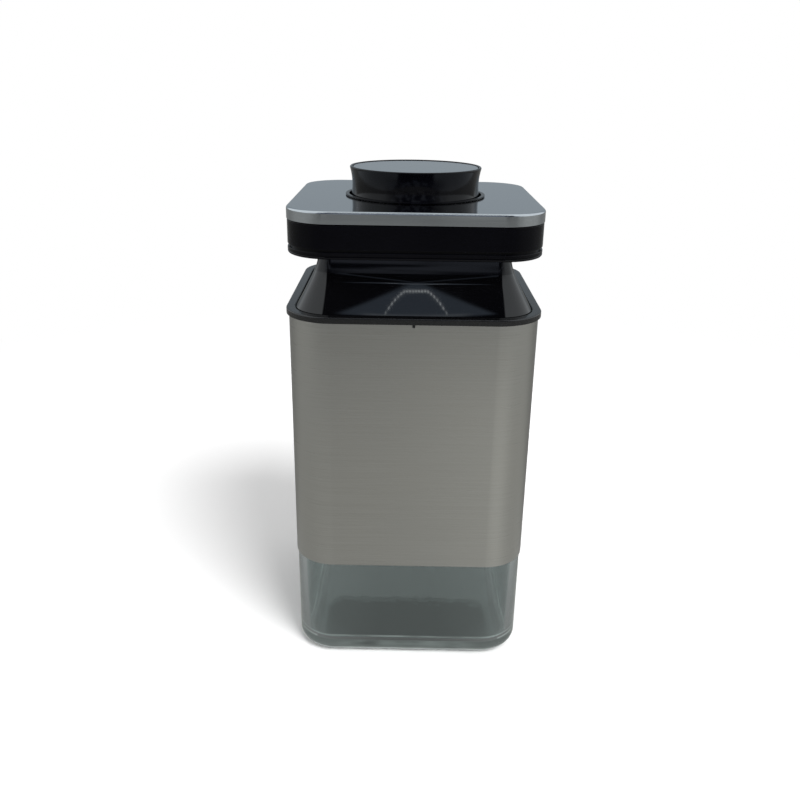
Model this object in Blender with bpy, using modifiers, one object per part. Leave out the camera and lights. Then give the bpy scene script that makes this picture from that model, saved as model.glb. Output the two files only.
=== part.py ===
"""Square kitchen canister: a thick glass jar in a steel sleeve, with a lid sealed by a pop-up knob.

Metres, +Z up. The jar stands on Z = 0, its axis is at X = Y = 0 and its front faces -Y.
The lid is modelled lifted above the jar's ledge, with its knob up. Square sections are given
by their reach, the distance from the axis to their flat sides.
"""
import math

import bmesh
import bpy
from mathutils import Vector

# Fits shared by all pieces
SEAT_GAP = 0.0003
GLUE_GAP = 0.0002
OVERRUN = 0.0020

# Square sections: their corner arcs share one centre, and the collar is the widest
COLLAR_REACH = 0.0550
COLLAR_CORNER_RADIUS = 0.0200
CORE_REACH = COLLAR_REACH - COLLAR_CORNER_RADIUS
LEAST_CORNER_RADIUS = 0.0005
CORNER_STEPS = 6
ARC_STEPS = 3
TURN_STEPS = 48
SMALL_TURN_STEPS = 24

# Collar: the flat ledge that the lid lands on, round the mouth
LEDGE_HEIGHT = 0.1692
LEDGE_WIDTH = 0.0040
COLLAR_THICKNESS = 0.0026
COLLAR_EDGE_RADIUS = 0.0006
SEAL_THICKNESS = 0.0012
SEAL_SET_IN = 0.0006

# Sleeve
COLLAR_OVERHANG = 0.0011
SLEEVE_SHEET = 0.0004
SLEEVE_BOTTOM = 0.0503
SLEEVE_NOTCH_WIDTH = 0.0014
SLEEVE_NOTCH_DEPTH = 0.0016

# Glass: straight inside for the plug, then thicker towards the floor
GLASS_WALL = 0.0040
GLASS_RIM_WALL = 0.00215
GLASS_STRAIGHT_DEPTH = 0.0300
GLASS_FLOOR = 0.0045
GLASS_EDGE_RADIUS = 0.0040
GLASS_HEEL_RADIUS = 0.0045
GLASS_RIM_RADIUS = 0.0006
GLASS_FOOT_WIDTH = 0.0030
GLASS_PUSH_UP = 0.0008

# Lid: steel cap over a black shell, with a lip ring below a groove
LID_LIFT = 0.0235
LID_HEIGHT = 0.0192
CAP_OVERHANG = 0.0002
CAP_SHEET = 0.0005
CAP_BAND_HEIGHT = 0.00505
CAP_EDGE_RADIUS = 0.0010
SKIRT_SET_IN = 0.0015
SKIRT_WALL = 0.0021
SKIRT_EDGE_RADIUS = 0.0003
CEILING_THICKNESS = 0.0018
CEILING_FILLET = 0.0010
LIP_HEIGHT = 0.0028
LIP_EDGE_RADIUS = 0.0012
LIP_INNER_CHAMFER = 0.0005
LIP_TONGUE_THICKNESS = 0.0008
LIP_TONGUE_HEIGHT = 0.0038
GROOVE_HEIGHT = 0.0011

# Plug: the square wall under the ceiling, with the flared gasket that stands in the mouth
PLUG_SET_IN = 0.0090
PLUG_STEP = 0.0020
PLUG_WALL = 0.0020
GASKET_CLEARANCE = 0.0003
GASKET_RISE = 0.0158
GASKET_SKIN = 0.0016
GASKET_EDGE_HEIGHT = 0.0016
GASKET_EDGE_RADIUS = 0.0006
COVER_SET_UP = 0.0006
COVER_SET_IN = 0.0032
COVER_THICKNESS = 0.0019
COVER_RIM_HEIGHT = 0.0024
COVER_RIM_WALL = 0.0015
COVER_EDGE_RADIUS = 0.0008

# Screws that hold the cover and plug to long bosses under the lid's ceiling
BOSS_SET_IN = 0.0090
BOSS_RADIUS = 0.0030
SCREW_HEAD_RADIUS = 0.0026
SCREW_HEAD_THICKNESS = 0.0007
SCREW_SHANK_RADIUS = 0.0012
SCREW_LENGTH = 0.0110
SCREW_SET_IN = 0.0001

# Knob and the well that it sinks into
KNOB_RISE = 0.0127
KNOB_TRAVEL = 0.0114
KNOB_STOP_GAP = 0.0004
KNOB_BORE_GAP = 0.0004
KNOB_FLANGE_WIDTH = 0.0010
KNOB_FLANGE_THICKNESS = 0.0014
KNOB_TOP_SPREAD = 0.00026
KNOB_WAIST_DEPTH = 0.0009
KNOB_WAIST_HEIGHT = 0.0050
KNOB_WALL = 0.0016
KNOB_PLATE_THICKNESS = 0.0018
KNOB_RIM_RADIUS = 0.0005
DISC_SET_IN = 0.00166
DISC_THICKNESS = 0.0008
DISC_SET_DOWN = 0.0003
DISC_EDGE_RADIUS = 0.0002
WELL_SET_IN = 0.0057
WELL_DEPTH = 0.0138
WELL_WALL = 0.0016
WELL_FLOOR = 0.0012
BEZEL_GAP = 0.00045
BEZEL_OVERLAP = 0.0007
BEZEL_FLANGE_THICKNESS = 0.0005

# Push latch and spring under the knob
STEM_RADIUS = 0.0034
STEM_FLANGE_RADIUS = 0.0050
STEM_FLANGE_THICKNESS = 0.0012
STEM_ENGAGEMENT = 0.0021
STEM_BORE_CLEARANCE = 0.0005
HOUSING_WALL = 0.0017
HOUSING_BASE_RADIUS = 0.0095
HOUSING_BASE_THICKNESS = 0.0013
TRACK_WIDTH = 0.0018
TRACK_DEPTH = 0.0018
PIN_RADIUS = 0.0005
PIN_DROP = 0.0013
PIN_REACH = 0.0062
SPRING_RADIUS = 0.0070
SPRING_WIRE_RADIUS = 0.0005
SPRING_CURLS = 6
POINTS_PER_CURL = 10

# Reach of the square pieces, from the collar inwards
SLEEVE_REACH = COLLAR_REACH - COLLAR_OVERHANG
GLASS_REACH = SLEEVE_REACH - SLEEVE_SHEET - GLUE_GAP
GLASS_RIM_REACH = GLASS_REACH - GLASS_RIM_WALL
MOUTH_REACH = COLLAR_REACH - LEDGE_WIDTH
SKIRT_REACH = COLLAR_REACH - SKIRT_SET_IN
CAP_REACH = SKIRT_REACH + CAP_OVERHANG
LID_INNER_REACH = SKIRT_REACH - SKIRT_WALL
GASKET_REACH = MOUTH_REACH - GASKET_CLEARANCE
COVER_REACH = GASKET_REACH - COVER_SET_IN
PLUG_REACH = MOUTH_REACH - PLUG_SET_IN
PLUG_SEAT_REACH = PLUG_REACH - PLUG_STEP
PLUG_INNER_REACH = PLUG_SEAT_REACH - PLUG_WALL
BOSS_PLACE = PLUG_INNER_REACH - BOSS_SET_IN

# Radii of the round pieces, from the well inwards
WELL_BORE_RADIUS = PLUG_INNER_REACH - WELL_SET_IN - WELL_WALL
KNOB_FLANGE_RADIUS = WELL_BORE_RADIUS - KNOB_BORE_GAP
KNOB_BASE_RADIUS = KNOB_FLANGE_RADIUS - KNOB_FLANGE_WIDTH
KNOB_TOP_RADIUS = KNOB_BASE_RADIUS + KNOB_TOP_SPREAD
KNOB_WAIST_RADIUS = KNOB_BASE_RADIUS - KNOB_WAIST_DEPTH
DISC_RADIUS = KNOB_TOP_RADIUS - DISC_SET_IN
BEZEL_BORE_RADIUS = KNOB_BASE_RADIUS + BEZEL_GAP
BEZEL_FLANGE_RADIUS = WELL_BORE_RADIUS + BEZEL_OVERLAP
HOUSING_BORE_RADIUS = STEM_RADIUS + STEM_BORE_CLEARANCE
SCREW_HOLE_RADIUS = SCREW_SHANK_RADIUS + SEAT_GAP

# Heights of the jar's pieces above the table
COLLAR_UNDERSIDE = LEDGE_HEIGHT - COLLAR_THICKNESS
SEAL_TOP = COLLAR_UNDERSIDE - SEAT_GAP
GLASS_TOP = SEAL_TOP - SEAL_THICKNESS - SEAT_GAP

# Heights of the lid's pieces above the lid's lip
CAP_UNDERSIDE = LID_HEIGHT - CAP_SHEET
CAP_BAND_BOTTOM = LID_HEIGHT - CAP_BAND_HEIGHT
CEILING_TOP = CAP_UNDERSIDE - SEAT_GAP
CEILING_UNDERSIDE = CEILING_TOP - CEILING_THICKNESS
SKIRT_BOTTOM = LIP_HEIGHT + GROOVE_HEIGHT
WELL_TOP = CEILING_UNDERSIDE - SEAT_GAP
WELL_BOTTOM = WELL_TOP - WELL_DEPTH
WELL_FLOOR_TOP = WELL_BOTTOM + WELL_FLOOR
GASKET_EDGE_TOP = -LID_LIFT
GASKET_TOP = GASKET_EDGE_TOP + GASKET_RISE
GASKET_BOTTOM = GASKET_EDGE_TOP - GASKET_EDGE_HEIGHT
COVER_BOTTOM = GASKET_BOTTOM + COVER_SET_UP
COVER_TOP = COVER_BOTTOM + COVER_THICKNESS
PLUG_BOTTOM = COVER_TOP + SEAT_GAP
PLUG_SHOULDER = GASKET_TOP + SEAT_GAP
HOUSING_BOTTOM = WELL_FLOOR_TOP + SEAT_GAP

# Heights of the knob's pieces above the lid's top
KNOB_FLANGE_BOTTOM = WELL_FLOOR_TOP + KNOB_STOP_GAP + KNOB_TRAVEL - LID_HEIGHT
KNOB_FLANGE_TOP = KNOB_FLANGE_BOTTOM + KNOB_FLANGE_THICKNESS
BEZEL_BOTTOM = KNOB_FLANGE_TOP + SEAT_GAP
DISC_TOP = KNOB_RISE - DISC_SET_DOWN
DISC_RECESS = DISC_TOP - DISC_THICKNESS - SEAT_GAP
KNOB_PLATE_UNDERSIDE = DISC_RECESS - KNOB_PLATE_THICKNESS
STEM_TOP = KNOB_PLATE_UNDERSIDE - SEAT_GAP
HOUSING_TOP = STEM_TOP - STEM_FLANGE_THICKNESS - KNOB_TRAVEL - KNOB_STOP_GAP
STEM_BOTTOM = HOUSING_TOP - STEM_ENGAGEMENT
PIN_HEIGHT = HOUSING_TOP - PIN_DROP
SPRING_BOTTOM = HOUSING_BOTTOM + HOUSING_BASE_THICKNESS + SEAT_GAP - LID_HEIGHT


def clear_scene():
    for thing in list(bpy.data.objects):
        bpy.data.objects.remove(thing, do_unlink=True)


def new_collection(name):
    collection = bpy.data.collections.new(name)
    bpy.context.scene.collection.children.link(collection)
    return collection


def new_material(name, colour, roughness, metallic=0.0, transmission=0.0):
    material = bpy.data.materials.new(name)
    material.use_nodes = True
    material.diffuse_color = (*colour, 1.0)
    shader = material.node_tree.nodes["Principled BSDF"]
    shader.inputs["Base Color"].default_value = (*colour, 1.0)
    shader.inputs["Roughness"].default_value = roughness
    shader.inputs["Metallic"].default_value = metallic
    shader.inputs["Transmission Weight"].default_value = transmission
    return material


def new_object(name, mesh, collection, material=None, parent=None):
    thing = bpy.data.objects.new(name, mesh)
    collection.objects.link(thing)
    if material:
        mesh.materials.clear()
        mesh.materials.append(material)
    thing.parent = parent
    return thing


def smooth(thing, degrees=35):
    thing.data.shade_smooth()
    thing.data.set_sharp_from_angle(angle=math.radians(degrees))
    return thing


def arc(centre_out, centre_up, radius, start_degrees, end_degrees, steps=ARC_STEPS):
    """Points (out, up) of a round edge in a profile."""
    points = []
    for step in range(steps + 1):
        angle = math.radians(start_degrees + (end_degrees - start_degrees) * step / steps)
        points.append((centre_out + radius * math.cos(angle), centre_up + radius * math.sin(angle)))
    return points


def square_ring(bm, reach, height):
    """A square section with round corners, as a ring of vertices."""
    radius = max(reach - CORE_REACH, LEAST_CORNER_RADIUS)
    centre = reach - radius
    ring = []
    for quarter in range(4):
        corner_angle = math.radians(45 + 90 * quarter)
        side_x = math.copysign(centre, math.cos(corner_angle))
        side_y = math.copysign(centre, math.sin(corner_angle))
        for step in range(CORNER_STEPS + 1):
            angle = math.radians(90 * (quarter + step / CORNER_STEPS))
            x = side_x + radius * math.cos(angle)
            y = side_y + radius * math.sin(angle)
            ring.append(bm.verts.new((x, y, height)))
    return ring


def loft_square(name, profile, closed, collection, material, parent=None):
    """Loft square sections through a profile of (reach, height) points.

    A closed profile gives a ring. An open one gives a cup, capped at its two ends.
    """
    bm = bmesh.new()
    rings = [square_ring(bm, reach, height) for reach, height in profile]
    pairs = list(zip(rings, rings[1:]))
    if closed:
        pairs.append((rings[-1], rings[0]))
    for lower, upper in pairs:
        for here in range(len(lower)):
            after = (here + 1) % len(lower)
            bm.faces.new((lower[here], lower[after], upper[after], upper[here]))
    if not closed:
        bm.faces.new(rings[0])
        bm.faces.new(rings[-1])
    bmesh.ops.recalc_face_normals(bm, faces=bm.faces[:])
    mesh = bpy.data.meshes.new(name)
    bm.to_mesh(mesh)
    bm.free()
    return smooth(new_object(name, mesh, collection, material, parent))


def turn_profile(name, profile, closed, collection, material, parent=None, steps=TURN_STEPS):
    """Turn a profile of (radius, height) points about the Z axis."""
    bm = bmesh.new()
    verts = [bm.verts.new((radius, 0.0, height)) for radius, height in profile]
    edges = list(zip(verts, verts[1:]))
    if closed:
        edges.append((verts[-1], verts[0]))
    for pair in edges:
        bm.edges.new(pair)
    mesh = bpy.data.meshes.new(name)
    bm.to_mesh(mesh)
    bm.free()
    thing = new_object(name, mesh, collection, material, parent)
    screw = thing.modifiers.new("turn", "SCREW")
    screw.steps = steps
    screw.render_steps = steps
    screw.use_merge_vertices = True
    screw.merge_threshold = 0.000001
    screw.use_smooth_shade = True
    return thing


def cylinder_between(name, radius, low, high, collection, material=None, parent=None, steps=24):
    """A cylinder from one point to another."""
    bm = bmesh.new()
    length = (high - low).length
    bmesh.ops.create_cone(bm, cap_ends=True, segments=steps, radius1=radius, radius2=radius, depth=length)
    mesh = bpy.data.meshes.new(name)
    bm.to_mesh(mesh)
    bm.free()
    thing = new_object(name, mesh, collection, material, parent)
    thing.location = (low + high) / 2
    thing.rotation_mode = "QUATERNION"
    thing.rotation_quaternion = (high - low).to_track_quat("Z", "Y")
    return thing


def box_between(name, low, high, collection, parent=None):
    """A box with its size in its mesh and its place in its location."""
    bm = bmesh.new()
    bmesh.ops.create_cube(bm, size=1.0)
    bmesh.ops.scale(bm, vec=high - low, verts=bm.verts[:])
    mesh = bpy.data.meshes.new(name)
    bm.to_mesh(mesh)
    bm.free()
    thing = new_object(name, mesh, collection, None, parent)
    thing.location = (low + high) / 2
    return thing


def as_cutter(thing):
    thing.hide_render = True
    thing.display_type = "WIRE"
    return thing


def combine(thing, operation, other):
    boolean = thing.modifiers.new(other.name, "BOOLEAN")
    boolean.operation = operation
    boolean.solver = "EXACT"
    boolean.object = as_cutter(other)
    return thing


def boss_places():
    return [(x, y) for x in (-BOSS_PLACE, BOSS_PLACE) for y in (-BOSS_PLACE, BOSS_PLACE)]


def make_glass_jar(parts, material):
    inner = GLASS_REACH - GLASS_WALL
    foot = GLASS_REACH - GLASS_EDGE_RADIUS - GLASS_FOOT_WIDTH
    rim = GLASS_RIM_RADIUS
    profile = [(foot - GLASS_PUSH_UP * 2, GLASS_PUSH_UP), (foot, 0.0)]
    profile += arc(GLASS_REACH - GLASS_EDGE_RADIUS, GLASS_EDGE_RADIUS, GLASS_EDGE_RADIUS, -90, 0)
    profile += arc(GLASS_REACH - rim, GLASS_TOP - rim, rim, 0, 90)
    profile += arc(GLASS_RIM_REACH + rim, GLASS_TOP - rim, rim, 90, 180)
    profile += [(GLASS_RIM_REACH, GLASS_TOP - GLASS_STRAIGHT_DEPTH)]
    heel = inner - GLASS_HEEL_RADIUS
    profile += arc(heel, GLASS_FLOOR + GLASS_HEEL_RADIUS, GLASS_HEEL_RADIUS, 0, -90, ARC_STEPS + 1)
    loft_square("glass_jar", profile, False, parts, material)


def make_sleeve(parts, cutters, material):
    inner = SLEEVE_REACH - SLEEVE_SHEET
    profile = [(SLEEVE_REACH, SLEEVE_BOTTOM), (SLEEVE_REACH, SEAL_TOP)]
    profile += [(inner, SEAL_TOP), (inner, SLEEVE_BOTTOM)]
    sleeve = loft_square("steel_sleeve", profile, True, parts, material)
    low = Vector((-SLEEVE_NOTCH_WIDTH / 2, -SLEEVE_REACH - OVERRUN, SEAL_TOP - SLEEVE_NOTCH_DEPTH))
    high = Vector((SLEEVE_NOTCH_WIDTH / 2, -inner + SLEEVE_SHEET, SEAL_TOP + OVERRUN))
    combine(sleeve, "DIFFERENCE", box_between("sleeve_notch", low, high, cutters))


def make_rim_seal(parts, material):
    outer = GLASS_REACH - SEAL_SET_IN
    inner = GLASS_RIM_REACH + SEAL_SET_IN
    bottom = SEAL_TOP - SEAL_THICKNESS
    profile = [(outer, bottom), (outer, SEAL_TOP), (inner, SEAL_TOP), (inner, bottom)]
    loft_square("rim_seal", profile, True, parts, material)


def make_collar(parts, material):
    edge = COLLAR_EDGE_RADIUS
    profile = [(MOUTH_REACH, COLLAR_UNDERSIDE), (COLLAR_REACH, COLLAR_UNDERSIDE)]
    profile += arc(COLLAR_REACH - edge, LEDGE_HEIGHT - edge, edge, 0, 90)
    profile += arc(MOUTH_REACH + edge, LEDGE_HEIGHT - edge, edge, 90, 180)
    loft_square("collar", profile, True, parts, material)


def make_steel_cap(parts, cutters, material, lid):
    inner_radius = CAP_EDGE_RADIUS - CAP_SHEET
    centre = CAP_REACH - CAP_EDGE_RADIUS
    bend = LID_HEIGHT - CAP_EDGE_RADIUS
    inner = CAP_REACH - CAP_SHEET
    profile = arc(centre, bend, CAP_EDGE_RADIUS, 90, 0)
    profile += [(CAP_REACH, CAP_BAND_BOTTOM), (inner, CAP_BAND_BOTTOM)]
    profile += arc(centre, bend, inner_radius, 0, 90)
    cap = loft_square("lid_steel_cap", profile, False, parts, material, lid)
    low = Vector((0.0, 0.0, CAP_UNDERSIDE - OVERRUN))
    high = Vector((0.0, 0.0, LID_HEIGHT + OVERRUN))
    hole = cylinder_between("cap_hole", WELL_BORE_RADIUS, low, high, cutters, None, lid, TURN_STEPS)
    combine(cap, "DIFFERENCE", hole)


def make_lid_shell(parts, cutters, material, lid):
    under_cap = CAP_REACH - CAP_SHEET - GLUE_GAP
    step = CAP_BAND_BOTTOM - SEAT_GAP
    edge = SKIRT_EDGE_RADIUS
    rebate = LID_INNER_REACH + LIP_TONGUE_THICKNESS + SEAT_GAP
    rebate_top = LIP_HEIGHT + LIP_TONGUE_HEIGHT + SEAT_GAP
    fillet = CEILING_FILLET
    profile = arc(under_cap - edge, CEILING_TOP - edge, edge, 90, 0)
    profile += [(under_cap, step)]
    profile += arc(SKIRT_REACH - edge, step - edge, edge, 90, 0)
    profile += arc(SKIRT_REACH - edge, SKIRT_BOTTOM + edge, edge, 0, -90)
    profile += [(rebate, SKIRT_BOTTOM), (rebate, rebate_top), (LID_INNER_REACH, rebate_top)]
    profile += arc(LID_INNER_REACH - fillet, CEILING_UNDERSIDE - fillet, fillet, 0, 90)
    shell = loft_square("lid_shell", profile, False, parts, material, lid)
    for number, (x, y) in enumerate(boss_places(), 1):
        low = Vector((x, y, PLUG_BOTTOM))
        high = Vector((x, y, CEILING_TOP - SEAT_GAP))
        boss = cylinder_between("screw_boss_%d" % number, BOSS_RADIUS, low, high, cutters, None, lid)
        combine(shell, "UNION", boss)
    for number, (x, y) in enumerate(boss_places(), 1):
        low = Vector((x, y, PLUG_BOTTOM - OVERRUN))
        high = Vector((x, y, COVER_BOTTOM + SCREW_LENGTH + OVERRUN))
        bore = cylinder_between("boss_bore_%d" % number, SCREW_HOLE_RADIUS, low, high, cutters, None, lid)
        combine(shell, "DIFFERENCE", bore)
    low = Vector((0.0, 0.0, CEILING_UNDERSIDE - OVERRUN))
    high = Vector((0.0, 0.0, CEILING_TOP + OVERRUN))
    hole = cylinder_between("ceiling_hole", WELL_BORE_RADIUS, low, high, cutters, None, lid, TURN_STEPS)
    combine(shell, "DIFFERENCE", hole)


def make_lip_ring(parts, material, lid):
    tongue = LID_INNER_REACH + LIP_TONGUE_THICKNESS
    tongue_top = LIP_HEIGHT + LIP_TONGUE_HEIGHT
    edge = SKIRT_EDGE_RADIUS
    chamfer = LIP_INNER_CHAMFER
    profile = [(LID_INNER_REACH, chamfer), (LID_INNER_REACH + chamfer, 0.0)]
    profile += arc(SKIRT_REACH - LIP_EDGE_RADIUS, LIP_EDGE_RADIUS, LIP_EDGE_RADIUS, -90, 0)
    profile += arc(SKIRT_REACH - edge, LIP_HEIGHT - edge, edge, 0, 90)
    profile += [(tongue, LIP_HEIGHT), (tongue, tongue_top), (LID_INNER_REACH, tongue_top)]
    loft_square("lid_lip_ring", profile, True, parts, material, lid)


def make_plug_wall(parts, material, lid):
    profile = [(PLUG_INNER_REACH, PLUG_BOTTOM), (PLUG_SEAT_REACH, PLUG_BOTTOM)]
    profile += [(PLUG_SEAT_REACH, PLUG_SHOULDER), (PLUG_REACH, PLUG_SHOULDER)]
    profile += [(PLUG_REACH, WELL_TOP), (PLUG_INNER_REACH, WELL_TOP)]
    loft_square("plug_wall", profile, True, parts, material, lid)


def make_gasket(parts, material, lid):
    """A cuff on the plug's seat, with a skirt that flares from its top down to the mouth."""
    cuff = PLUG_SEAT_REACH + SEAT_GAP
    slope = (GASKET_REACH - PLUG_REACH) / GASKET_RISE
    skin_across = GASKET_SKIN * math.hypot(1, slope)
    fork = GASKET_TOP - skin_across / slope
    edge = GASKET_EDGE_RADIUS
    profile = [(cuff, GASKET_TOP), (PLUG_REACH, GASKET_TOP), (GASKET_REACH, GASKET_EDGE_TOP)]
    profile += arc(GASKET_REACH - edge, GASKET_BOTTOM + edge, edge, 0, -90)
    profile += [(GASKET_REACH - skin_across, GASKET_BOTTOM)]
    profile += [(GASKET_REACH - skin_across, GASKET_EDGE_TOP), (PLUG_REACH, fork)]
    profile += [(PLUG_REACH, PLUG_BOTTOM), (cuff, PLUG_BOTTOM)]
    loft_square("plug_gasket", profile, True, parts, material, lid)


def make_plug_cover(parts, cutters, material, lid):
    rim_outer = PLUG_INNER_REACH - SEAT_GAP
    rim_inner = rim_outer - COVER_RIM_WALL
    rim_top = COVER_TOP + COVER_RIM_HEIGHT
    edge = COVER_EDGE_RADIUS
    profile = arc(COVER_REACH - edge, COVER_BOTTOM + edge, edge, -90, 0)
    profile += [(COVER_REACH, COVER_TOP), (rim_outer, COVER_TOP), (rim_outer, rim_top)]
    profile += [(rim_inner, rim_top), (rim_inner, COVER_TOP)]
    cover = loft_square("plug_cover", profile, False, parts, material, lid)
    recess_top = COVER_BOTTOM + SCREW_SET_IN + SCREW_HEAD_THICKNESS + SEAT_GAP
    for number, (x, y) in enumerate(boss_places(), 1):
        bottom = Vector((x, y, COVER_BOTTOM - OVERRUN))
        seat = Vector((x, y, recess_top))
        top = Vector((x, y, COVER_TOP + OVERRUN))
        head_radius = SCREW_HEAD_RADIUS + SEAT_GAP
        recess = cylinder_between("head_recess_%d" % number, head_radius, bottom, seat, cutters, None, lid)
        hole = cylinder_between("cover_hole_%d" % number, SCREW_HOLE_RADIUS, bottom, top, cutters, None, lid)
        combine(cover, "DIFFERENCE", recess)
        combine(cover, "DIFFERENCE", hole)


def make_screws(parts, material, lid):
    bottom = COVER_BOTTOM + SCREW_SET_IN
    under_head = bottom + SCREW_HEAD_THICKNESS
    tip = bottom + SCREW_LENGTH
    point = SCREW_SHANK_RADIUS / 2
    profile = [(0.0, tip), (point, tip), (SCREW_SHANK_RADIUS, tip - point)]
    profile += [(SCREW_SHANK_RADIUS, under_head), (SCREW_HEAD_RADIUS, under_head)]
    profile += [(SCREW_HEAD_RADIUS, bottom), (0.0, bottom)]
    for number, (x, y) in enumerate(boss_places(), 1):
        name = "plug_screw_%d" % number
        screw = turn_profile(name, profile, False, parts, material, lid, SMALL_TURN_STEPS // 2)
        screw.location = (x, y, 0.0)


def make_well(parts, material, lid):
    outer = WELL_BORE_RADIUS + WELL_WALL
    profile = [(WELL_BORE_RADIUS, WELL_TOP), (outer, WELL_TOP), (outer, WELL_BOTTOM)]
    profile += [(HOUSING_BORE_RADIUS, WELL_BOTTOM), (HOUSING_BORE_RADIUS, WELL_FLOOR_TOP)]
    profile += [(WELL_BORE_RADIUS, WELL_FLOOR_TOP)]
    turn_profile("knob_well", profile, True, parts, material, lid)


def make_latch_housing(parts, cutters, material, lid):
    outer = HOUSING_BORE_RADIUS + HOUSING_WALL
    base_top = HOUSING_BOTTOM + HOUSING_BASE_THICKNESS
    top = HOUSING_TOP + LID_HEIGHT
    profile = [(HOUSING_BORE_RADIUS, top), (outer, top), (outer, base_top)]
    profile += [(HOUSING_BASE_RADIUS, base_top), (HOUSING_BASE_RADIUS, HOUSING_BOTTOM)]
    profile += [(HOUSING_BORE_RADIUS, HOUSING_BOTTOM)]
    housing = turn_profile("latch_housing", profile, True, parts, material, lid, SMALL_TURN_STEPS)
    height = PIN_HEIGHT + LID_HEIGHT
    steps = SMALL_TURN_STEPS // 2
    low = Vector((0.0, -outer - OVERRUN, height))
    high = Vector((0.0, 0.0, height))
    hole = cylinder_between("pin_hole", PIN_RADIUS + SEAT_GAP, low, high, cutters, None, lid, steps)
    combine(housing, "DIFFERENCE", hole)
    tip = -STEM_RADIUS + TRACK_DEPTH - SEAT_GAP
    low = Vector((0.0, -PIN_REACH, height))
    high = Vector((0.0, tip, height))
    cylinder_between("latch_pin", PIN_RADIUS, low, high, parts, material, lid, steps)


def make_bezel(parts, material, lid):
    """Made, like the knob, by its heights above the lid's top."""
    body = WELL_BORE_RADIUS - SEAT_GAP
    flange_top = SEAT_GAP + BEZEL_FLANGE_THICKNESS
    profile = [(BEZEL_BORE_RADIUS, flange_top)]
    profile += [(BEZEL_FLANGE_RADIUS - SEAT_GAP, flange_top), (BEZEL_FLANGE_RADIUS, flange_top - SEAT_GAP / 2)]
    profile += [(BEZEL_FLANGE_RADIUS, SEAT_GAP), (body, SEAT_GAP), (body, BEZEL_BOTTOM)]
    profile += [(BEZEL_BORE_RADIUS, BEZEL_BOTTOM)]
    bezel = turn_profile("bezel_ring", profile, True, parts, material, lid)
    bezel.location = (0.0, 0.0, LID_HEIGHT)


def waisted_radius(height):
    """Radius of the knob's hollow side, least at its waist."""
    if height > KNOB_WAIST_HEIGHT:
        share = (height - KNOB_WAIST_HEIGHT) / (KNOB_RISE - KNOB_WAIST_HEIGHT)
        return KNOB_WAIST_RADIUS + (KNOB_TOP_RADIUS - KNOB_WAIST_RADIUS) * share ** 2
    share = (KNOB_WAIST_HEIGHT - height) / (KNOB_WAIST_HEIGHT - KNOB_FLANGE_TOP)
    return KNOB_WAIST_RADIUS + (KNOB_BASE_RADIUS - KNOB_WAIST_RADIUS) * share ** 2


def make_knob(parts, material, knob):
    rim = KNOB_RIM_RADIUS
    side_top = KNOB_RISE - rim
    side_steps = 8
    recess_radius = DISC_RADIUS + SEAT_GAP
    profile = [(0.0, DISC_RECESS), (recess_radius, DISC_RECESS)]
    profile += arc(recess_radius + rim, side_top, rim, 180, 90)
    profile += arc(waisted_radius(side_top) - rim, side_top, rim, 90, 0)
    for step in range(1, side_steps + 1):
        height = side_top + (KNOB_FLANGE_TOP - side_top) * step / side_steps
        profile.append((waisted_radius(height), height))
    profile += [(KNOB_FLANGE_RADIUS, KNOB_FLANGE_TOP), (KNOB_FLANGE_RADIUS, KNOB_FLANGE_BOTTOM)]
    profile.append((KNOB_BASE_RADIUS - KNOB_WALL, KNOB_FLANGE_BOTTOM))
    inner_steps = side_steps // 2
    for step in range(inner_steps + 1):
        height = KNOB_FLANGE_TOP + (KNOB_PLATE_UNDERSIDE - KNOB_FLANGE_TOP) * step / inner_steps
        profile.append((waisted_radius(height) - KNOB_WALL, height))
    profile.append((0.0, KNOB_PLATE_UNDERSIDE))
    turn_profile("knob_body", profile, False, parts, material, knob)


def make_knob_disc(parts, material, knob):
    edge = DISC_EDGE_RADIUS
    bottom = DISC_TOP - DISC_THICKNESS
    profile = [(0.0, DISC_TOP)] + arc(DISC_RADIUS - edge, DISC_TOP - edge, edge, 90, 0)
    profile += [(DISC_RADIUS, bottom), (0.0, bottom)]
    turn_profile("knob_disc", profile, False, parts, material, knob)


def make_stem(parts, cutters, material, knob):
    flange_bottom = STEM_TOP - STEM_FLANGE_THICKNESS
    profile = [(0.0, STEM_TOP), (STEM_FLANGE_RADIUS, STEM_TOP), (STEM_FLANGE_RADIUS, flange_bottom)]
    profile += [(STEM_RADIUS, flange_bottom), (STEM_RADIUS, STEM_BOTTOM), (0.0, STEM_BOTTOM)]
    stem = turn_profile("knob_stem", profile, False, parts, material, knob, SMALL_TURN_STEPS)
    track_top = PIN_HEIGHT + KNOB_TRAVEL + PIN_RADIUS + SEAT_GAP
    low = Vector((-TRACK_WIDTH / 2, -STEM_RADIUS - OVERRUN, STEM_BOTTOM - OVERRUN))
    high = Vector((TRACK_WIDTH / 2, -STEM_RADIUS + TRACK_DEPTH, track_top))
    combine(stem, "DIFFERENCE", box_between("latch_track", low, high, cutters, knob))


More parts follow.
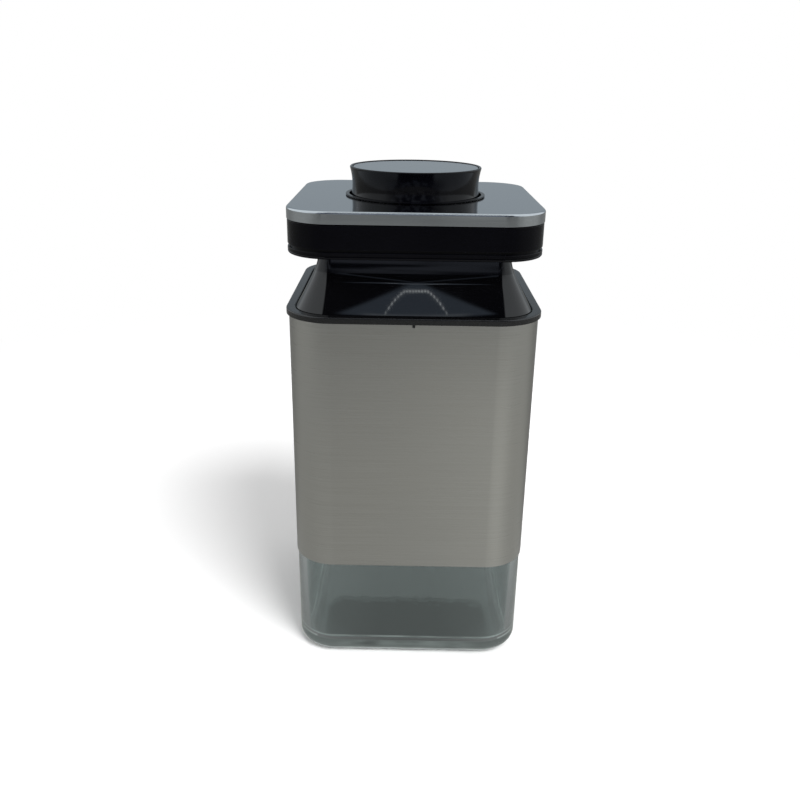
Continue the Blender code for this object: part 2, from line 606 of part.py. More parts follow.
def make_spring(parts, material, knob):
    """One wire, wound from the latch housing's base up to the knob's plate."""
    low = SPRING_BOTTOM + SPRING_WIRE_RADIUS
    high = STEM_TOP - SPRING_WIRE_RADIUS
    count = SPRING_CURLS * POINTS_PER_CURL
    points = []
    for number in range(count + 1):
        angle = 2 * math.pi * number / POINTS_PER_CURL
        x = SPRING_RADIUS * math.cos(angle)
        y = SPRING_RADIUS * math.sin(angle)
        points.append(Vector((x, y, low + (high - low) * number / count)))
    curve = bpy.data.curves.new("knob_spring", "CURVE")
    curve.dimensions = "3D"
    curve.bevel_depth = SPRING_WIRE_RADIUS
    curve.bevel_resolution = 1
    curve.use_fill_caps = True
    spline = curve.splines.new("POLY")
    spline.points.add(count)
    for point, place in zip(spline.points, points):
        point.co = (*place, 1.0)
    new_object("knob_spring", curve, parts, material, knob)
    nearest = min(
        (points[one] - points[two]).length
        for one in range(count + 1)
        for two in range(one + POINTS_PER_CURL // 2, count + 1)
    )
    print("knob_spring least gap to itself: %.2f mm" % ((nearest - 2 * SPRING_WIRE_RADIUS) * 1000))


def main():
    clear_scene()
    parts = new_collection("square_canister")
    cutters = new_collection("cutters")
    glass = new_material("clear_glass", (0.80, 0.88, 0.86), 0.03, 0.0, 0.95)
    brushed = new_material("brushed_steel", (0.46, 0.46, 0.44), 0.34, 1.0)
    polished = new_material("polished_steel", (0.50, 0.53, 0.56), 0.14, 1.0)
    gloss = new_material("gloss_black", (0.008, 0.008, 0.010), 0.12)
    satin = new_material("satin_black", (0.030, 0.030, 0.032), 0.45)
    silicone = new_material("grey_silicone", (0.55, 0.55, 0.54), 0.55)
    rubber = new_material("black_rubber", (0.010, 0.010, 0.012), 0.20)
    wire = new_material("spring_steel", (0.55, 0.55, 0.55), 0.25, 1.0)

    make_glass_jar(parts, glass)
    make_sleeve(parts, cutters, brushed)
    make_rim_seal(parts, silicone)
    make_collar(parts, gloss)

    lid = bpy.data.objects.new("lid_axis", None)
    parts.objects.link(lid)
    lid.location = (0.0, 0.0, LEDGE_HEIGHT + LID_LIFT)
    make_steel_cap(parts, cutters, polished, lid)
    make_lid_shell(parts, cutters, gloss, lid)
    make_lip_ring(parts, gloss, lid)
    make_plug_wall(parts, satin, lid)
    make_gasket(parts, rubber, lid)
    make_plug_cover(parts, cutters, satin, lid)
    make_screws(parts, wire, lid)
    make_well(parts, satin, lid)
    make_latch_housing(parts, cutters, satin, lid)
    make_bezel(parts, gloss, lid)

    knob = bpy.data.objects.new("knob_axis", None)
    parts.objects.link(knob)
    knob.parent = lid
    knob.location = (0.0, 0.0, LID_HEIGHT)
    make_knob(parts, gloss, knob)
    make_knob_disc(parts, polished, knob)
    make_stem(parts, cutters, satin, knob)
    make_spring(parts, wire, knob)


main()
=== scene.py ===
"""Square glass canister with a steel sleeve and a pop-up knob lid: finish, light and camera."""
import math

import bmesh
import bpy
from mathutils import Matrix, Vector


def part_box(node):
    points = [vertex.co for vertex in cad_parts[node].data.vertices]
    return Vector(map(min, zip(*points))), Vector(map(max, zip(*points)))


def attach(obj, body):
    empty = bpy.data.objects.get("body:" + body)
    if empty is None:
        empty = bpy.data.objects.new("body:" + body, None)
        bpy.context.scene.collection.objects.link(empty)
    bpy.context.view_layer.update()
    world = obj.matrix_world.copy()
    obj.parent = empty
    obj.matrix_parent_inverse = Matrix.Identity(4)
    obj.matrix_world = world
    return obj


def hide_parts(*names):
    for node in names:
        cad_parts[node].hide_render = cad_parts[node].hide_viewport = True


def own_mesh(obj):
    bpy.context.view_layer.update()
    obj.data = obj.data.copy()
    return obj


# Camera that took the photograph: place in metres, turns in degrees, lens and sensor in millimetres
CAMERA_PLACE = (-0.003878, -0.383031, 0.262221)
CAMERA_DOWN = 21.439
CAMERA_ROLL = 0.8627
CAMERA_TURN = 0.2379
CAMERA_LENS = 37.221
CAMERA_SENSOR_WIDTH = 36.0
CAMERA_NEAREST = 0.01
CAMERA_FARTHEST = 50.0

# Light: the even share that reaches all sides, and a soft sun
AMBIENT_SHARE = 0.74
KEY_DIRECTION = (0.42, -0.52, 0.745)
KEY_STRENGTH = 2.85
KEY_SPREAD = 30.0

# Spans are (from, to, value at from, value at to)

# Mirrored room, by direction: ahead and aside are shares of the level distance, and so is the rise
FRONT_SHARP_SPAN = (-0.86, -0.80, 1.0, 0.0)
FRONT_SOFT_SPAN = (-0.98, -0.40, 1.0, 0.0)
FRONT_SHARPENING_SPAN = (0.30, 0.60, 0.0, 1.0)
BACK_SPAN = (0.62, 0.86, 0.0, 1.0)
BACK_FADE_SPAN = (0.8, 1.3, 1.0, 0.0)
STRIP_BOTTOM_SPAN = (1.03, 1.20, 0.0, 1.0)
STRIP_TOP_SPAN = (2.0, 2.6, 1.0, 0.0)
STRIP_SPOT_SPAN = (0.57, 0.64, 0.0, 1.0)
STRIP_SPOT_SCALE = 45.0
PATCH_SPAN = (0.46, 0.58, 0.0, 1.0)
PATCH_SCALE = 5.0
LEAST_LEVEL_SHARE = 0.001
CLUTTER_DETAIL = 3.0

# The pale tent in the dark front, and the dark hood round it with a bright hem under the tent
TENT_ASIDE = 0.0185
TENT_TOP = 0.986
TENT_SLOPE = 0.633
TENT_EDGE_SPAN = (0.0, 0.012, 0.0, 1.0)
TENT_SILL = 0.897
TENT_SILL_BLUR = 0.004
HOOD_SLOPE = 3.0
HOOD_BEND_SPAN = (0.35, 0.55, 0.0, 1.0)
HOOD_FADE_SPAN = (0.60, 0.80, 0.0, 1.0)
HEM_RISE = 0.875
HEM_SPAN = (0.012, 0.035, 1.0, 0.0)

# The arch of small lamps in the tent, and the faint strip along the tent's sill
ARCH_TOP = 0.9642
ARCH_CROWN = 0.9562
ARCH_BEND = 22.9
ARCH_LINE_SPAN = (0.0010, 0.0045, 1.0, 0.0)
ARCH_FOOT_SPAN = (0.044, 0.056, 1.0, 0.0)
LAMP_SPACING = 0.0050
LAMP_WAVE_SPAN = (-0.3, 0.9, 0.12, 1.0)
SILL_STRIP_RISE = 0.005
SILL_STRIP_SPAN = (0.0010, 0.0040, 0.08, 0.0)
SILL_STRIP_END_SPAN = (0.07, 0.10, 1.0, 0.0)

# Colours of the mirrored room
SIDE_COLOUR = (0.95, 1.0, 1.03)
BACK_COLOUR = (0.305, 0.345, 0.375)
PATCH_COLOURS = ((0.02, 0.024, 0.034), (0.40, 0.45, 0.55))
DARK_COLOUR = (0.006, 0.007, 0.010)
HEM_COLOUR = (0.17, 0.21, 0.27)
TENT_COLOUR = (0.40, 0.50, 0.64)
STRIP_COLOURS = ((0.80, 0.85, 0.88), (2.6, 2.75, 2.8))
LAMP_COLOUR = (6.5, 6.9, 7.0)

# Table
FLOOR_SIZE = 6.0
FLOOR_DROP = 0.0001
FLOOR_COLOUR = (0.90, 0.90, 0.90, 1.0)
FLOOR_ROUGHNESS_SHARE = 0.9
WHITE_FLOOR_SPAN = (0.22, 0.60, 0.0, 1.0)

# Table and room as glass lets them through: the table glows there with painted light, dim under the jar
# as painted shade, brighter off to the sides
THROUGH_GLASS_SHARE = 0.55
UNDER_JAR_SHARE = 0.23
UNDER_JAR_SPAN = (0.045, 0.12, 0.10, UNDER_JAR_SHARE)
BEHIND_JAR_SPAN = (0.12, 0.40, 0.0, THROUGH_GLASS_SHARE - UNDER_JAR_SHARE)
BESIDE_JAR_SPAN = (0.015, 0.060, 0.90, 1.32)

# Painted reflection of the table, a glow seen only in reflections, by the distance from the jar in
# metres, and by aside and ahead as shares of it
MIRRORED_FLOOR_COLOUR = (0.98, 1.0, 0.97, 1.0)
FRONT_FLOOR_SPAN = (0.36, 1.06, 0.46, 0.225)
DIP_ASIDE = 0.0375
DIP_SPAN = (0.0, 0.03, 0.17, 0.0)
DIP_START_SPAN = (0.6, 0.9, 0.0, 1.0)
LEFT_LEAN_SPAN = (-0.10, 0.0, 0.93, 1.0)
RIGHT_LEAN_SPAN = (0.0, 0.10, 1.0, 1.36)
LEAN_END_SPAN = (0.5, 0.9, 0.0, 1.0)
FLOOR_END_SPAN = (1.50, 1.75, 0.0, 1.0)
FAR_CLUTTER_SPAN = (0.45, 0.62, 0.05, 0.50)
FAR_CLUTTER_SCALE = 2.2
SIDE_FLOOR_SPAN = (0.5, 0.9, 0.41, 0.36)
SIDE_LEAN_SPAN = (-0.5, 0.5, 0.95, 1.08)
SIDEWAYS_SPAN = (0.55, 0.95, 0.0, 1.0)
BACKWARDS_SPAN = (0.0, 0.6, 0.0, 1.0)
BACK_FLOOR_SHARE = 0.25

# Fineness of the round forms
CORNER_STEPS = 20
ARC_STEPS = 6
HOLLOW_STEPS = 10
TURN_STEPS = 128
GLASS_EDGE_STEPS = 12
GLASS_HEEL_STEPS = 16
KNOB_SIDE_STEPS = 28
BEVEL_STEPS = 2

# Bends beyond these angles shade as sharp edges
SHARP_DEGREES = 38
FINE_SHARP_DEGREES = 20
GLASS_SHARP_DEGREES = 70

# Gap between pieces that seat on each other, and the length by which a cutter passes its wall
SEAT_GAP = 0.0003
CUTTER_OVERRUN = 0.0020

# Square sections share one centre for their corner arcs
CORE_REACH = 0.0350
LEAST_CORNER_RADIUS = 0.0005

# Collar and sleeve
COLLAR_EDGE_RADIUS = 0.0006
LEDGE_WIDTH = 0.0040
SLEEVE_SHEET = 0.0004
SLEEVE_EDGE_RADIUS = 0.00012
NOTCH_WIDTH = 0.0012
NOTCH_DEPTH = 0.0013
NOTCH_PLAY = 0.0001

# Glass
GLASS_WALL = 0.0040
GLASS_RIM_WALL = 0.00215
GLASS_STRAIGHT_DEPTH = 0.0300
GLASS_FLOOR = 0.0045
GLASS_EDGE_RADIUS = 0.0060
GLASS_HEEL_RADIUS = 0.0045
GLASS_RIM_RADIUS = 0.0006
GLASS_FOOT_WIDTH = 0.0030
GLASS_PUSH_UP = 0.0008
GLASS_PUSH_UP_WIDTH = 0.0032

# Lid
CAP_SHEET = 0.0005
CAP_EDGE_RADIUS = 0.0010
CAP_BURR_RADIUS = 0.00012
CAP_HOLE_SET_IN = 0.0007
SKIRT_WALL = 0.0021
SKIRT_EDGE_RADIUS = 0.0003
STEP_FIT = 0.0002
CEILING_THICKNESS = 0.0018
CEILING_FILLET = 0.0010
LIP_HEIGHT = 0.0028
LIP_EDGE_RADIUS = 0.0009
LIP_CHAMFER_HEIGHT = 0.00036
LIP_CHAMFER_DEPTH = 0.00032
LIP_GROOVE = 0.00025
LIP_INNER_CHAMFER = 0.0005
LIP_TONGUE_THICKNESS = 0.0008
GROOVE_HEIGHT = 0.0011

# Bosses that hang from the lid's ceiling
BOSS_PLACE = 0.0290
BOSS_RADIUS = 0.0030
BOSS_BORE_RADIUS = 0.0015

# Plug and gasket
PLUG_STEP = 0.0020
PLUG_WALL = 0.0020
GASKET_CUFF_GAP = 0.0003
GASKET_RISE = 0.0158
GASKET_SKIN = 0.0016
GASKET_EDGE_RADIUS = 0.0006
NECK_HOLLOW_RADIUS = 0.0300
NECK_HOLLOW_DROP = 0.0040

# Knob
KNOB_WAIST_RADIUS = 0.0284
KNOB_BASE_RADIUS = 0.0293
KNOB_WAIST_HEIGHT = 0.0050
KNOB_WALL = 0.0016
KNOB_PLATE_THICKNESS = 0.0018
KNOB_RIM_RADIUS = 0.0005
KNOB_FLANGE_THICKNESS = 0.0014
DISC_SET_IN = 0.00166
DISC_EDGE_RADIUS = 0.00025
BEZEL_BORE_RADIUS = 0.02975
BEZEL_BODY_SET_IN = 0.0010
BEZEL_EDGE_RADIUS = 0.0002

# Glass finish, with a painted glow and a painted glint that stand in for light that takes more turns in
# the glass than a render follows
GLASS_TINT = (0.80, 0.875, 0.865, 1.0)
GLASS_IOR = 1.50
GLASS_WAVE = (70.0, 2.0, (1.0, 1.0, 0.10))
GLASS_ROUGHNESS_SHARES = (0.0, 0.02)
GLASS_BUMP_SHARE = 0.12
GUIDED_GLOW_COLOUR = (0.88, 1.0, 0.965, 1.0)
GUIDED_GLOW_SPAN = (2.0, 3.0, 0.0, 0.045)
GUIDED_GLOW_PATCHES = (120.0, 2.0, (0.5, 0.5, 4.0))
GUIDED_GLOW_PATCH_SPAN = (0.35, 0.65, 0.5, 1.5)
HEEL_GLINT_SHARE = 0.11
HEEL_GLINT_HEIGHT = 0.0086
HEEL_GLINT_SPAN = (0.0002, 0.0007, 1.0, 0.0)
HEEL_INSIDE_SPAN = (0.0510, 0.0512, 1.0, 0.0)

# Brushed steel
BRUSH_GRAIN = (60.0, 6.0, (0.35, 0.35, 60.0), 0.65)
BRUSH_CLOUD = (14.0, 3.0)
BRUSH_CLOUD_SPAN = (0.35, 0.65, 0.0, 0.12)
BRUSH_COLOURS = ((0.43, 0.42, 0.39), (0.53, 0.52, 0.49))
BRUSH_CLOUD_COLOUR = (0.42, 0.44, 0.46)
BRUSH_ROUGHNESS_SPAN = (0.25, 0.75, 0.24, 0.38)
BRUSH_BUMP_SHARE = 0.10

# Heights of the finishes' grain, and the part of a grain's values that the finishes use
GLASS_RELIEF = 0.001
BRUSH_RELIEF = 0.00006
POLISH_RELIEF = 0.00003
MOULDING_RELIEF = 0.0003
SATIN_RELIEF = 0.0001
COLLAR_RELIEF = 0.00008
RUBBER_RELIEF = 0.0001
GRAIN_SHARES = (0.3, 0.7)


def reach_of(node):
    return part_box(node)[1][0]


def bottom_of(node):
    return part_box(node)[0][2]


def top_of(node):
    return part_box(node)[1][2]


def arc(centre_out, centre_up, radius, start_degrees, end_degrees, steps=ARC_STEPS):
    """Points (out, up) of a round edge in a profile."""
    points = []
    for step in range(steps + 1):
        angle = math.radians(start_degrees + (end_degrees - start_degrees) * step / steps)
        points.append((centre_out + radius * math.cos(angle), centre_up + radius * math.sin(angle)))
    return points


def new_piece(name, mesh, body, material, *nodes):
    """A piece of the object that stands for its CAD nodes and rides on a body."""
    piece = bpy.data.objects.new(name, mesh)
    bpy.context.scene.collection.objects.link(piece)
    mesh.materials.append(material)
    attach(piece, body)
    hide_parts(*nodes)
    return piece


def flatten(piece):
    """Let the large flat faces keep their own direction in the shading."""
    weighted = piece.modifiers.new("flat", "WEIGHTED_NORMAL")
    weighted.keep_sharp = True
    return piece


def square_ring(bm, reach, height):
    """A square section with round corners, as a ring of vertices."""
    radius = max(reach - CORE_REACH, LEAST_CORNER_RADIUS)
    centre = reach - radius
    ring = []
    for quarter in range(4):
        corner_angle = math.radians(45 + 90 * quarter)
        side_x = math.copysign(centre, math.cos(corner_angle))
        side_y = math.copysign(centre, math.sin(corner_angle))
        for step in range(CORNER_STEPS + 1):
            angle = math.radians(90 * (quarter + step / CORNER_STEPS))
            x = side_x + radius * math.cos(angle)
            y = side_y + radius * math.sin(angle)
            ring.append(bm.verts.new((x, y, height)))
    return ring


def round_ring(bm, radius, height):
    """A circle of vertices about the axis. On the axis it is one vertex, named at every step."""
    if radius == 0.0:
        return [bm.verts.new((0.0, 0.0, height))] * TURN_STEPS
    ring = []
    for step in range(TURN_STEPS):
        angle = 2 * math.pi * step / TURN_STEPS
        ring.append(bm.verts.new((radius * math.cos(angle), radius * math.sin(angle), height)))
    return ring


def join_rings(bm, rings, closed):
    """Faces from each ring of vertices to the next. Closed also joins the last ring to the first."""
    pairs = list(zip(rings, rings[1:]))
    if closed:
        pairs.append((rings[-1], rings[0]))
    for lower, upper in pairs:
        for here in range(len(lower)):
            after = (here + 1) % len(lower)
            corners = (lower[here], lower[after], upper[after], upper[here])
            bm.faces.new(tuple(dict.fromkeys(corners)))


def smooth_mesh(name, bm, sharp_degrees):
    bmesh.ops.recalc_face_normals(bm, faces=bm.faces[:])
    mesh = bpy.data.meshes.new(name)
    bm.to_mesh(mesh)
    bm.free()
    mesh.shade_smooth()
    mesh.set_sharp_from_angle(angle=math.radians(sharp_degrees))
    return mesh


def square_mesh(name, profile, closed, sharp_degrees=SHARP_DEGREES):
    """Loft square sections through a profile. Closed gives a ring, open a cup with two caps."""
    bm = bmesh.new()
    rings = [square_ring(bm, reach, height) for reach, height in profile]
    join_rings(bm, rings, closed)
    if not closed:
        bm.faces.new(rings[0])
        bm.faces.new(rings[-1])
    return smooth_mesh(name, bm, sharp_degrees)


def turned_mesh(name, profile, closed, centre_height=0.0):
    """Turn a profile of (radius, height) points about the axis. Open, it starts and ends there."""
    bm = bmesh.new()
    rings = [round_ring(bm, radius, centre_height + height) for radius, height in profile]
    join_rings(bm, rings, closed)
    return smooth_mesh(name, bm, SHARP_DEGREES)


def soften(piece, width):
    """Round the sharp edges that every moulded or pressed piece has."""
    bevel = piece.modifiers.new("edges", "BEVEL")
    bevel.width = width
    bevel.segments = BEVEL_STEPS
    bevel.limit_method = "ANGLE"
    bevel.angle_limit = math.radians(SHARP_DEGREES)
    bevel.harden_normals = True
    return piece


def cut(piece, cutter):
    """Subtract a shape and keep the result as the piece's own mesh."""
    boolean = piece.modifiers.new("cut", "BOOLEAN")
    boolean.operation = "DIFFERENCE"
    boolean.solver = "EXACT"
    boolean.object = cutter
    settings = bpy.context.evaluated_depsgraph_get()
    mesh = bpy.data.meshes.new_from_object(piece.evaluated_get(settings))
    piece.modifiers.remove(boolean)
    piece.data = mesh
    bpy.data.objects.remove(cutter, do_unlink=True)
    mesh.set_sharp_from_angle(angle=math.radians(SHARP_DEGREES))
    return piece


def hole_cutter(low, high):
    """A round cutter for the knob's hole through what lies between two heights."""
    radius = reach_of("bezel_ring") - CAP_HOLE_SET_IN
    bottom = low - CUTTER_OVERRUN
    top = high + CUTTER_OVERRUN
    bm = bmesh.new()
    bmesh.ops.create_cone(
        bm, cap_ends=True, segments=TURN_STEPS, radius1=radius, radius2=radius, depth=top - bottom,
        matrix=Matrix.Translation((0.0, 0.0, (bottom + top) / 2)),
    )
    return cutter_object(bm)


def box_cutter(low, high):
    bm = bmesh.new()
    bmesh.ops.create_cube(bm, size=1.0)
    bmesh.ops.scale(bm, vec=high - low, verts=bm.verts[:])
    bmesh.ops.translate(bm, vec=(low + high) / 2, verts=bm.verts[:])
    return cutter_object(bm)


def cutter_object(bm):
    mesh = bpy.data.meshes.new("cutter")
    bm.to_mesh(mesh)
    bm.free()
    cutter = bpy.data.objects.new("cutter", mesh)
    bpy.context.scene.collection.objects.link(cutter)
    return cutter


class Nodes:
    """Short words for building a material's nodes."""

    def __init__(self, tree):
        self.tree = tree

    def add(self, kind, **settings):
        node = self.tree.nodes.new(kind)
        for name, value in settings.items():
            setattr(node, name, value)
        return node

    def link(self, output, socket):
        self.tree.links.new(output, socket)

    def coordinates(self, scale):
        """Object coordinates, stretched by a scale on each axis."""
        place = self.add("ShaderNodeTexCoord")
        mapping = self.add("ShaderNodeMapping")
        mapping.inputs["Scale"].default_value = scale
        self.link(place.outputs["Object"], mapping.inputs["Vector"])
        return mapping.outputs["Vector"]

    def noise(self, scale, detail, stretch=(1.0, 1.0, 1.0), roughness=0.5):
        node = self.add("ShaderNodeTexNoise")
        node.inputs["Scale"].default_value = scale
        node.inputs["Detail"].default_value = detail
        node.inputs["Roughness"].default_value = roughness
        self.link(self.coordinates(stretch), node.inputs["Vector"])
        return node.outputs["Fac"]

    def span(self, value, from_low, from_high, to_low, to_high, kind="LINEAR"):
        node = self.add("ShaderNodeMapRange", interpolation_type=kind)
        self.link(value, node.inputs["Value"])
        node.inputs["From Min"].default_value = from_low
        node.inputs["From Max"].default_value = from_high
        node.inputs["To Min"].default_value = to_low
        node.inputs["To Max"].default_value = to_high
        return node.outputs["Result"]

    def smooth(self, value, from_low, from_high, to_low, to_high):
        return self.span(value, from_low, from_high, to_low, to_high, "SMOOTHSTEP")

    def blend(self, share, first, second):
        """Mix two colours, each a tuple or a socket."""
        node = self.add("ShaderNodeMix", data_type="RGBA")
        sockets = [socket for socket in node.inputs if socket.type == "RGBA"]
        for socket, colour in zip(sockets, (first, second)):
            if isinstance(colour, tuple):
                socket.default_value = (*colour, 1.0)
            else:
                self.link(colour, socket)
        self.link(share, node.inputs[0])
        return next(socket for socket in node.outputs if socket.type == "RGBA")

    def math(self, operation, first, second=0.0):
        node = self.add("ShaderNodeMath", operation=operation)
        for socket, value in zip(node.inputs, (first, second)):
            if isinstance(value, (int, float)):
                socket.default_value = value
            else:
                self.link(value, socket)
        return node.outputs["Value"]

    def absolute(self, value):
        return self.math("ABSOLUTE", value)

    def distance(self, value, centre):
        """How far a value is from a centre, on either side."""
        return self.absolute(self.math("SUBTRACT", value, centre))

    def product(self, first, *others):
        for other in others:
            first = self.math("MULTIPLY", first, other)
        return first

    def parts(self, vector):
        """A vector's X, Y and Z."""
        split = self.add("ShaderNodeSeparateXYZ")
        self.link(vector, split.inputs["Vector"])
        return split.outputs["X"], split.outputs["Y"], split.outputs["Z"]

    def bump(self, height, strength, distance):
        node = self.add("ShaderNodeBump")
        node.inputs["Strength"].default_value = strength
        node.inputs["Distance"].default_value = distance
        self.link(height, node.inputs["Height"])
        return node.outputs["Normal"]


def new_material(name):
    material = bpy.data.materials.new(name)
    material.use_nodes = True
    return Nodes(material.node_tree), material.node_tree.nodes["Principled BSDF"], material


def clear_glass():
    """Thick pressed glass with a faint green-grey tint and slight waves. It also glows with painted light
    where rays have turned in it often, and along a painted glint at the heel.
    """
    nodes, shader, material = new_material("clear_glass")
    shader.inputs["Base Color"].default_value = GLASS_TINT
    shader.inputs["Transmission Weight"].default_value = 1.0
    shader.inputs["IOR"].default_value = GLASS_IOR
    wave = nodes.noise(*GLASS_WAVE)
    nodes.link(nodes.span(wave, *GRAIN_SHARES, *GLASS_ROUGHNESS_SHARES), shader.inputs["Roughness"])
    nodes.link(nodes.bump(wave, GLASS_BUMP_SHARE, GLASS_RELIEF), shader.inputs["Normal"])
    path = nodes.add("ShaderNodeLightPath")
    # Painted glow: the glass emits light once a ray has bounced in it often, standing in for light guided
    # in its thick walls
    guided_glow = nodes.span(path.outputs["Glossy Depth"], *GUIDED_GLOW_SPAN)
    patchy = nodes.span(nodes.noise(*GUIDED_GLOW_PATCHES), *GUIDED_GLOW_PATCH_SPAN)
    # Painted glint along the inner heel, added to the painted glow
    glint = nodes.product(heel_glint(nodes), HEEL_GLINT_SHARE)
    glow = nodes.product(nodes.math("ADD", guided_glow, glint), patchy)
    shader.inputs["Emission Color"].default_value = GUIDED_GLOW_COLOUR
    nodes.link(glow, shader.inputs["Emission Strength"])
    return material


def heel_glint(nodes):
    """Share of a painted glint: a thin emitted line that stands for the light the rounded heel inside the
    jar gathers.
    """
    place = nodes.add("ShaderNodeTexCoord")
    x, y, z = nodes.parts(place.outputs["Object"])
    reach = nodes.math("MAXIMUM", nodes.absolute(x), nodes.absolute(y))
    inside = nodes.span(reach, *HEEL_INSIDE_SPAN)
    return nodes.product(inside, nodes.smooth(nodes.distance(z, HEEL_GLINT_HEIGHT), *HEEL_GLINT_SPAN))


def brushed_steel():
    """Stainless sheet with fine brushing that runs round the canister."""
    nodes, shader, material = new_material("brushed_steel")
    shader.inputs["Metallic"].default_value = 1.0
    grain = nodes.noise(*BRUSH_GRAIN)
    cloud = nodes.noise(*BRUSH_CLOUD)
    warm = nodes.blend(nodes.span(grain, *GRAIN_SHARES, 0.0, 1.0), *BRUSH_COLOURS)
    cool = nodes.blend(nodes.span(cloud, *BRUSH_CLOUD_SPAN), warm, BRUSH_CLOUD_COLOUR)
    nodes.link(cool, shader.inputs["Base Color"])
    nodes.link(nodes.span(grain, *BRUSH_ROUGHNESS_SPAN), shader.inputs["Roughness"])
    nodes.link(nodes.bump(grain, BRUSH_BUMP_SHARE, BRUSH_RELIEF), shader.inputs["Normal"])
    return material


def grained_material(
    name, grain, colours, roughness_shares, bump_share=0.0, relief=0.0, metal_share=0.0, shine_share=0.5,
):
    """A material whose grain (scale, detail, stretch, roughness) varies its colour, gloss and surface."""
    nodes, shader, material = new_material(name)
    noise = nodes.noise(*grain)
    colour = nodes.blend(nodes.span(noise, *GRAIN_SHARES, 0.0, 1.0), *colours)
    nodes.link(colour, shader.inputs["Base Color"])
    nodes.link(nodes.span(noise, *GRAIN_SHARES, *roughness_shares), shader.inputs["Roughness"])
    shader.inputs["Metallic"].default_value = metal_share
    shader.inputs["Specular IOR Level"].default_value = shine_share
    if relief > 0.0:
        nodes.link(nodes.bump(noise, bump_share, relief), shader.inputs["Normal"])
    return material


def polished_steel():
    """Smooth cap steel, cool in tone, with a faint trace of polishing."""
    return grained_material(
        "polished_steel",
        grain=(40.0, 5.0, (0.5, 30.0, 30.0), 0.6),
        colours=((0.50, 0.53, 0.56), (0.55, 0.58, 0.61)),
        roughness_shares=(0.07, 0.12),
        bump_share=0.04,
        relief=POLISH_RELIEF,
        metal_share=1.0,
    )


def bright_steel():
    """Plain wire and screws."""
    return grained_material(
        "bright_steel",
        grain=(300.0, 3.0),
        colours=((0.52, 0.52, 0.51), (0.60, 0.60, 0.59)),
        roughness_shares=(0.18, 0.28),
        metal_share=1.0,
    )


def gloss_black(name, shine_share):
    """Glossy black moulding, a little uneven as moulded plastic is."""
    return grained_material(
        name,
        grain=(30.0, 3.0),
        colours=((0.0006, 0.0006, 0.0012), (0.0012, 0.0012, 0.0022)),
        roughness_shares=(0.06, 0.11),
        bump_share=0.03,
        relief=MOULDING_RELIEF,
        shine_share=shine_share,
    )


def satin_black():
    """Satin moulding with a fine texture."""
    return grained_material(
        "satin_black",
        grain=(900.0, 2.0),
        colours=((0.018, 0.018, 0.019), (0.032, 0.032, 0.034)),
        roughness_shares=(0.38, 0.52),
        bump_share=0.25,
        relief=SATIN_RELIEF,
    )


def collar_black():
    """The collar's moulding, with the fine texture of its ledge."""
    return grained_material(
        "collar_black",
        grain=(1300.0, 2.0),
        colours=((0.0008, 0.0008, 0.0010), (0.0032, 0.0032, 0.0040)),
        roughness_shares=(0.14, 0.26),
        bump_share=0.30,
        relief=COLLAR_RELIEF,
        shine_share=0.60,
    )


def gasket_black():
    """Smooth black rubber with a wet-looking shine."""
    return grained_material(
        "gasket_black",
        grain=(45.0, 2.0),
        colours=((0.0010, 0.0010, 0.0014), (0.0018, 0.0018, 0.0022)),
        roughness_shares=(0.015, 0.03),
        bump_share=0.02,
        relief=RUBBER_RELIEF,
    )


def silicone():
    """Soft grey rubber with a dusty surface."""
    return grained_material(
        "silicone",
        grain=(500.0, 3.0),
        colours=((0.46, 0.46, 0.45), (0.56, 0.56, 0.55)),
        roughness_shares=(0.5, 0.65),
        bump_share=0.15,
        relief=RUBBER_RELIEF,
    )


def make_glass_jar(material):
    reach = reach_of("glass_jar")
    top = top_of("glass_jar")
    inner = reach - GLASS_WALL
    rim_inner = reach - GLASS_RIM_WALL
    rim = GLASS_RIM_RADIUS
    foot = reach - GLASS_EDGE_RADIUS - GLASS_FOOT_WIDTH
    edge = GLASS_EDGE_RADIUS
    profile = [(foot - GLASS_PUSH_UP_WIDTH, GLASS_PUSH_UP), (foot, 0.0)]
    profile += arc(reach - edge, edge, edge, -90, 0, GLASS_EDGE_STEPS)
    profile += arc(reach - rim, top - rim, rim, 0, 90)
    profile += arc(rim_inner + rim, top - rim, rim, 90, 180)
    profile += [(rim_inner, top - GLASS_STRAIGHT_DEPTH)]
    heel = GLASS_HEEL_RADIUS
    profile += arc(inner - heel, GLASS_FLOOR + heel, heel, 0, -90, GLASS_HEEL_STEPS)
    mesh = square_mesh("glass", profile, False, GLASS_SHARP_DEGREES)
    flatten(new_piece("glass_body", mesh, "jar", material, "glass_jar"))


def make_sleeve(material):
    reach = reach_of("steel_sleeve")
    bottom = bottom_of("steel_sleeve")
    top = top_of("steel_sleeve")
    inner = reach - SLEEVE_SHEET
    profile = [(reach, bottom), (reach, top), (inner, top), (inner, bottom)]
    mesh = square_mesh("sleeve", profile, True)
    sleeve = new_piece("sleeve_sheet", mesh, "jar", material, "steel_sleeve")
    low = Vector((-NOTCH_WIDTH / 2, -reach - NOTCH_WIDTH, top - NOTCH_DEPTH))
    high = Vector((NOTCH_WIDTH / 2, -inner + SLEEVE_SHEET, top + NOTCH_DEPTH))
    cut(sleeve, box_cutter(low, high))
    flatten(soften(sleeve, SLEEVE_EDGE_RADIUS))


def make_collar(material):
    reach = reach_of("collar")
    mouth = reach - LEDGE_WIDTH
    ledge = top_of("collar")
    underside = bottom_of("collar")
    edge = COLLAR_EDGE_RADIUS
    profile = [(mouth, underside), (reach, underside)]
    profile += arc(reach - edge, ledge - edge, edge, 0, 90)
    profile += arc(mouth + edge, ledge - edge, edge, 90, 180)
    mesh = square_mesh("collar", profile, True)
    add_tab(mesh, underside)
    flatten(new_piece("collar_moulding", mesh, "jar", material, "collar"))


